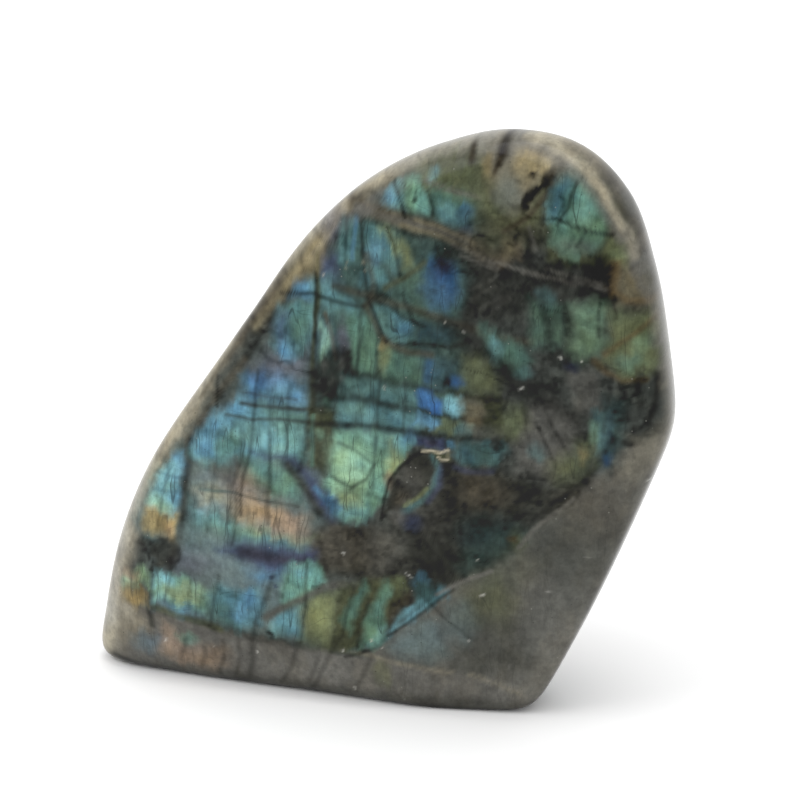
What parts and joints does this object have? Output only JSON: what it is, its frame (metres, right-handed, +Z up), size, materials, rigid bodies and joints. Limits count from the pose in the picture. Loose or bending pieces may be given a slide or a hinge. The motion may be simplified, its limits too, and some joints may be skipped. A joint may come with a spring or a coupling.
{
  "type": "polished labradorite freeform",
  "caption": "Free-standing polished slab of labradorite with a flat flashing face, a bevelled rim, a rounded back and a base cut flat to stand on.",
  "frame": {"origin": "middle of the stone's box, on the cut base that it stands on", "axes": "+Z up, +Y through the stone from its polished face to its back, +X to the right as seen from the front"},
  "size_m": [0.1182, 0.0426, 0.1161],
  "materials": {
    "labradorite": "polished stone, dark grey-green with blue, teal, green and gold flashes"
  },
  "bodies": {
    "root": {"labradorite": "labradorite"}
  },
  "joints": []
}
